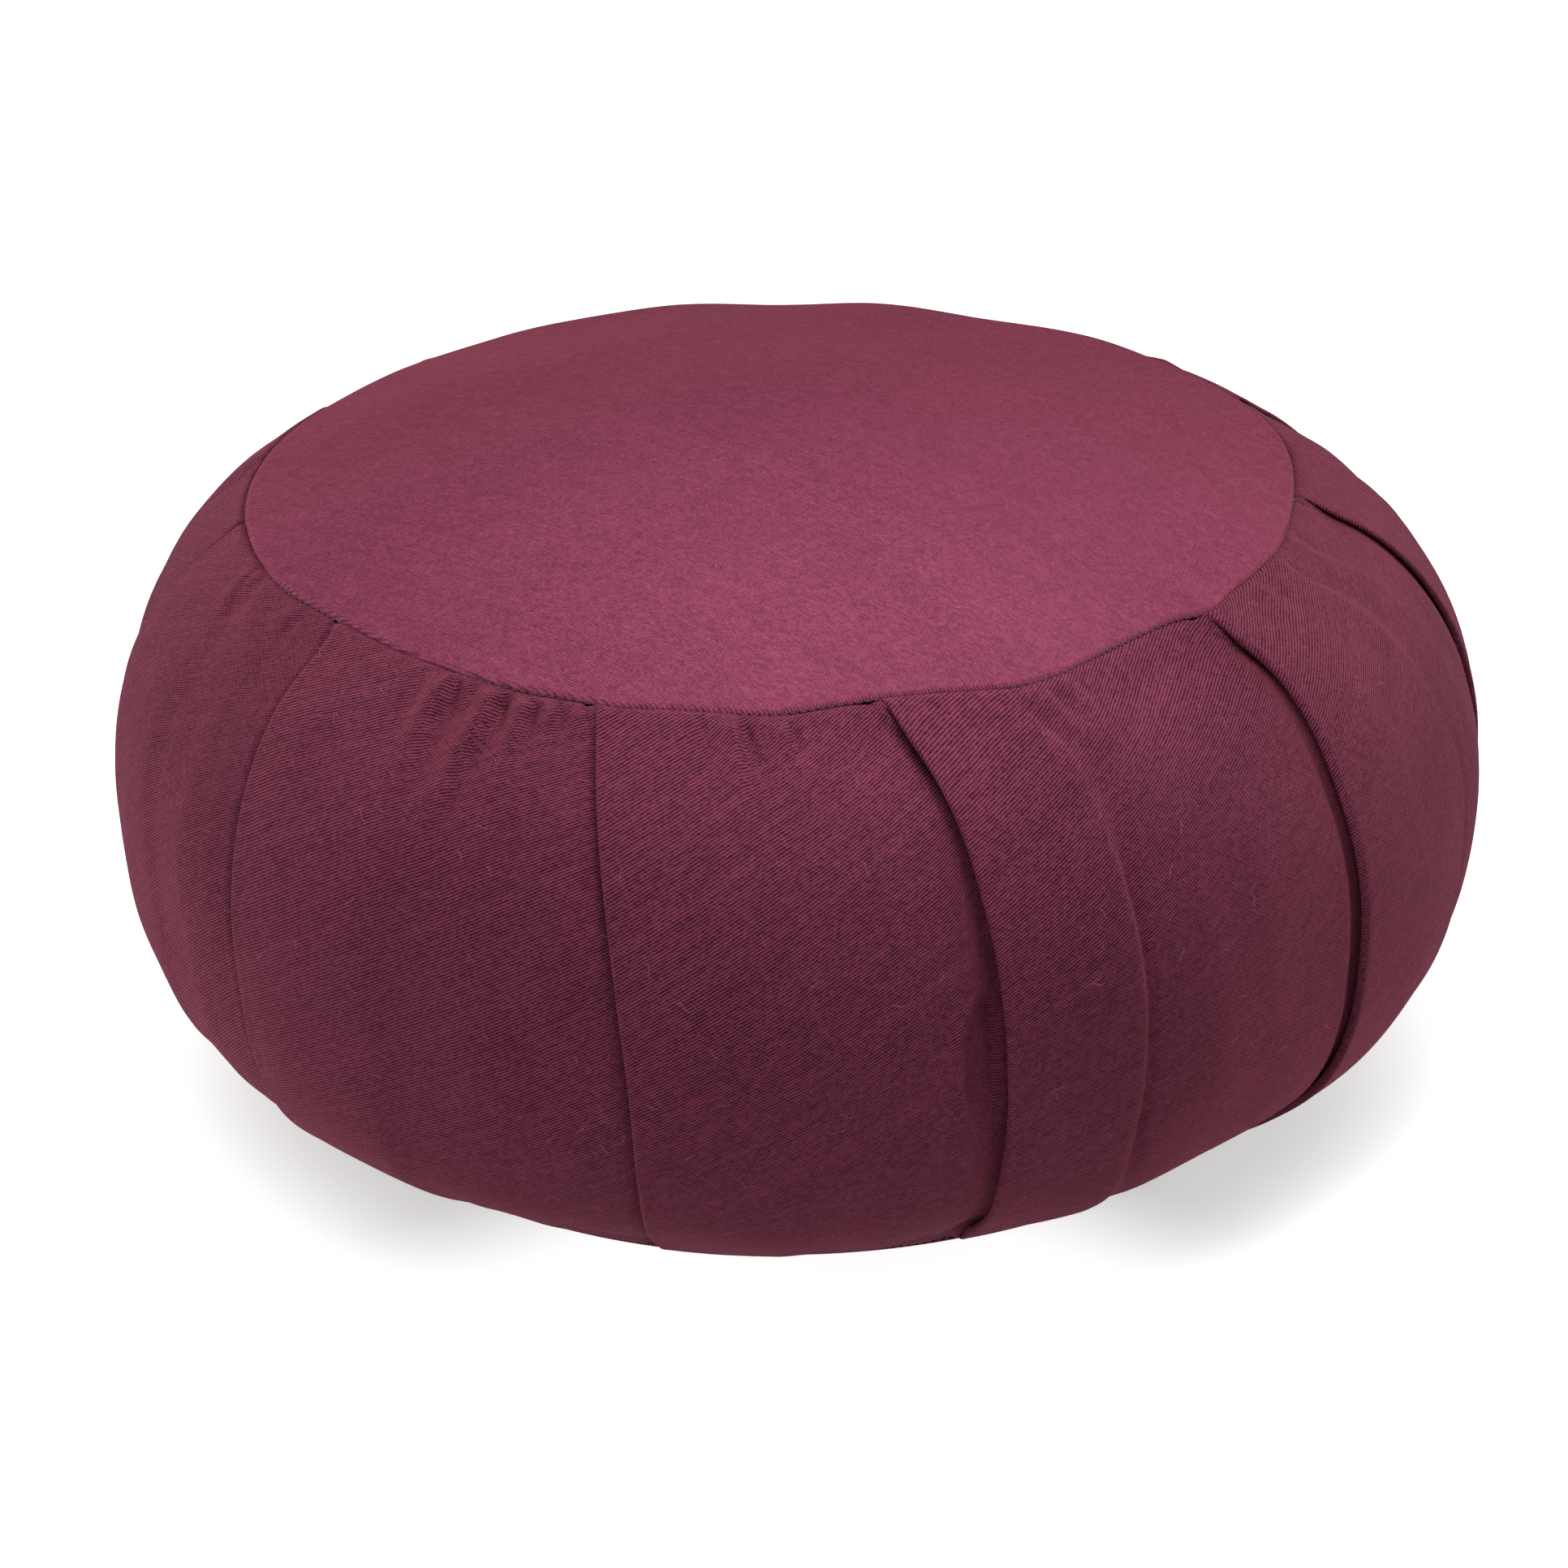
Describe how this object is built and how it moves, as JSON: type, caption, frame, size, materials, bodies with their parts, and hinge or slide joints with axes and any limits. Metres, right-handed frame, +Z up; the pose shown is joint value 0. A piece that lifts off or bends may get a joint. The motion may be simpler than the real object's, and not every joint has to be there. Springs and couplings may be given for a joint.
{
  "type": "zafu meditation cushion",
  "caption": "Round twill floor cushion with a crowned top panel, a knife-pleated side band plumped by its filling, and a flat base panel.",
  "frame": {"origin": "middle of the flat base panel's underside, on the floor", "axes": "+Z up through the crown, -Y towards the front, +X to the right as seen from the front"},
  "size_m": [0.3309, 0.3333, 0.1574],
  "materials": {
    "band_twill": "matte plum cotton twill",
    "top_twill": "matte plum cotton twill",
    "base_twill": "matte plum cotton twill"
  },
  "bodies": {
    "root": {"side_band": "band_twill", "top_panel": "top_twill", "base_panel": "base_twill"}
  },
  "joints": []
}
